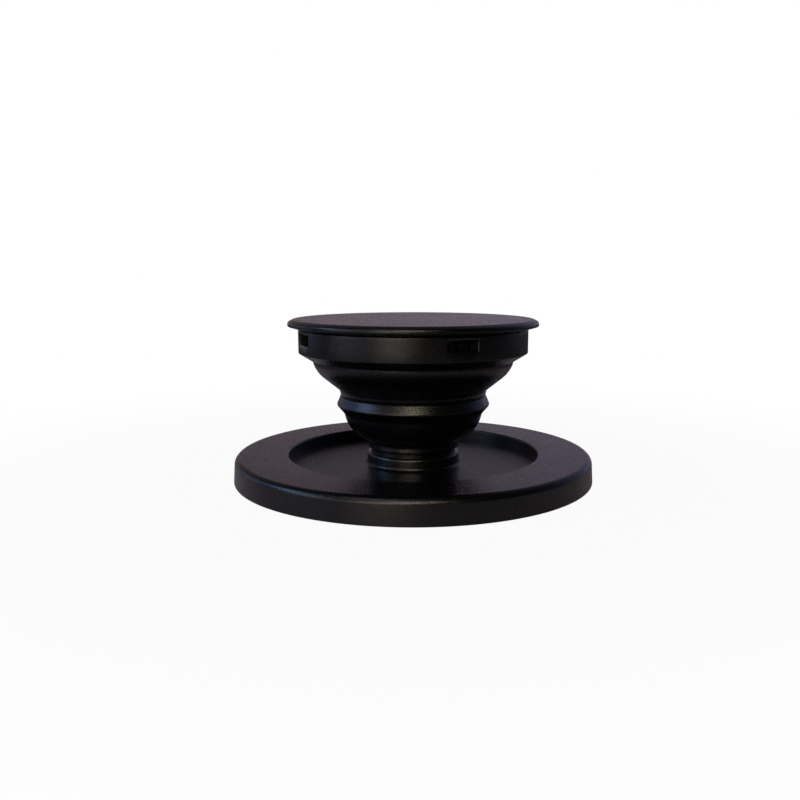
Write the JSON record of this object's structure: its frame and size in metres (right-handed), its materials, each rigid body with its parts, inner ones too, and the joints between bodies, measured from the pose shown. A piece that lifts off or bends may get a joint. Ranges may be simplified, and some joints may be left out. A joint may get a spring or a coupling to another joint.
{
  "type": "magnetic collapsible phone grip",
  "caption": "Round magnetic phone grip with a wide recessed base, a soft two-stage folding neck and a gripping disc on a quarter-turn collar.",
  "frame": {"origin": "centre of the base's contact face, in the plane of the phone's back", "axes": "+Z along the grip's axis, away from the phone; -Y is the side the picture shows"},
  "size_m": [0.0578, 0.0578, 0.0257],
  "materials": {
    "black_plastic": "satin moulded black",
    "bellows_rubber": "soft matte black",
    "contact_pad": "fine matte black",
    "retainer_plastic": "moulded black",
    "steel": "bright sheet",
    "magnet": "nickel plated"
  },
  "bodies": {
    "base": {"base_shell": "black_plastic", "contact_pad": "contact_pad", "bottom_cover": "black_plastic", "shunt_ring": "steel", "foot_retainer": "retainer_plastic", "magnet_01": "magnet", "magnet_02": "magnet", "magnet_03": "magnet", "magnet_04": "magnet", "magnet_05": "magnet", "magnet_06": "magnet", "magnet_07": "magnet", "magnet_08": "magnet", "magnet_09": "magnet", "magnet_10": "magnet", "magnet_11": "magnet", "magnet_12": "magnet", "magnet_13": "magnet", "magnet_14": "magnet", "magnet_15": "magnet", "magnet_16": "magnet", "magnet_17": "magnet", "magnet_18": "magnet"},
    "bellows": {"bellows": "bellows_rubber"},
    "collar": {"collar": "black_plastic"},
    "top": {"top_disc": "black_plastic"}
  },
  "joints": [
    {"name": "lower_fold", "type": "slide", "parent": "base", "child": "bellows", "axis": [0, 0, 1], "range_m": [-0.0078, 0], "deforming": ["bellows"]},
    {"name": "upper_fold", "type": "slide", "parent": "bellows", "child": "collar", "axis": [0, 0, 1], "range_m": [-0.0085, 0], "deforming": ["bellows"]},
    {"name": "top_turn", "type": "hinge", "parent": "collar", "child": "top", "pos_m": [0, 0, 0.0238], "axis": [0, 0, 1], "range_deg": [0, 90]}
  ]
}
